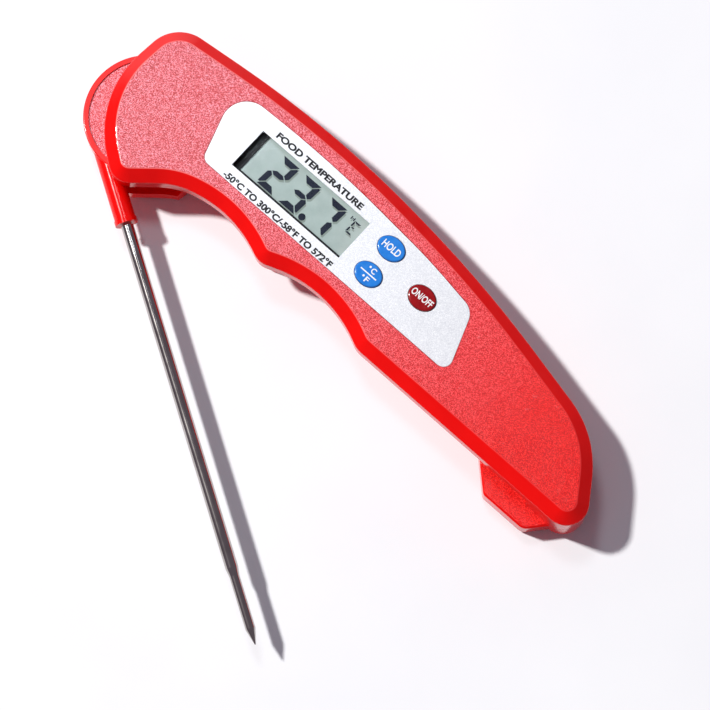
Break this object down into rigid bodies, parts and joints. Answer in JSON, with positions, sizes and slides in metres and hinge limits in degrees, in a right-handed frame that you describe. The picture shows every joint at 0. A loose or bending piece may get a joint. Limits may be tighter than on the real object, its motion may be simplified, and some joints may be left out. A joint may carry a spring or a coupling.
{
  "type": "folding probe thermometer",
  "caption": "Folding digital meat thermometer: red moulded handle with display and keys, and a hinged steel probe.",
  "frame": {"origin": "on the flat back face of the handle, straight under the probe's pivot", "axes": "+X along the handle to its tail, +Y to the smooth back edge, +Z out of the display face"},
  "size_m": [0.1553, 0.1004, 0.018],
  "materials": {
    "red_shell": "fine textured moulded ABS, glossy on the bevel",
    "label_film": "printed polycarbonate film, white to silver pearl",
    "clear_window": "clear acrylic",
    "black_bezel": "black print",
    "display_cell": "grey-green reflective liquid crystal cell",
    "zebra_rubber": "layered conductive rubber",
    "blue_key": "smooth moulded ABS",
    "red_key": "smooth moulded ABS",
    "board_laminate": "green solder mask over glass laminate",
    "black_epoxy": "black epoxy and switch plastic",
    "component_body": "plated cans and end caps",
    "probe_steel": "polished stainless steel tube",
    "spring_steel": "nickel-plated spring steel",
    "screw_steel": "zinc-plated steel",
    "lead_insulation": "flexible insulated wire",
    "magnet_plating": "nickel-plated disc magnet",
    "cell_jacket": "plain printed battery jacket"
  },
  "bodies": {
    "case": {"front_cover": "red_shell", "back_cover": "red_shell", "label_overlay": "label_film", "display_window": "clear_window", "display_bezel": "black_bezel", "display_glass": "display_cell", "connector_strips": "zebra_rubber", "circuit_board": "board_laminate", "processor_blob": "black_epoxy", "board_components": "component_body", "tact_switches": "black_epoxy", "board_leads": "lead_insulation", "battery_lead": "lead_insulation", "back_washer": "spring_steel", "front_washer": "spring_steel", "pivot_pin": "spring_steel", "case_screws": "screw_steel", "board_screws": "screw_steel", "magnets": "magnet_plating", "battery_cell": "cell_jacket", "positive_contact": "spring_steel", "negative_spring": "spring_steel"},
    "probe_arm": {"probe_hub": "red_shell", "hub_cap": "red_shell", "probe_tube": "probe_steel", "thermistor_bead": "black_epoxy", "probe_leads": "lead_insulation"},
    "hold_key": {"hold_button": "blue_key"},
    "unit_key": {"unit_button": "blue_key"},
    "power_key": {"power_button": "red_key"},
    "battery_hatch": {"battery_door": "red_shell"}
  },
  "joints": [
    {"name": "probe_hinge", "type": "hinge", "parent": "case", "child": "probe_arm", "pos_m": [0, 0, 0.0087], "axis": [0, 0, -1], "range_deg": [-30.7, 149.3]},
    {"name": "battery_door_slide", "type": "slide", "parent": "case", "child": "battery_hatch", "axis": [1, 0, 0], "range_m": [0, 0.05]},
    {"name": "hold_press", "type": "slide", "parent": "case", "child": "hold_key", "axis": [0, 0, -1], "range_m": [0, 0.0005], "stiffness_N_per_m": 600},
    {"name": "unit_press", "type": "slide", "parent": "case", "child": "unit_key", "axis": [0, 0, -1], "range_m": [0, 0.0005], "stiffness_N_per_m": 600},
    {"name": "power_press", "type": "slide", "parent": "case", "child": "power_key", "axis": [0, 0, -1], "range_m": [0, 0.0005], "stiffness_N_per_m": 600}
  ]
}
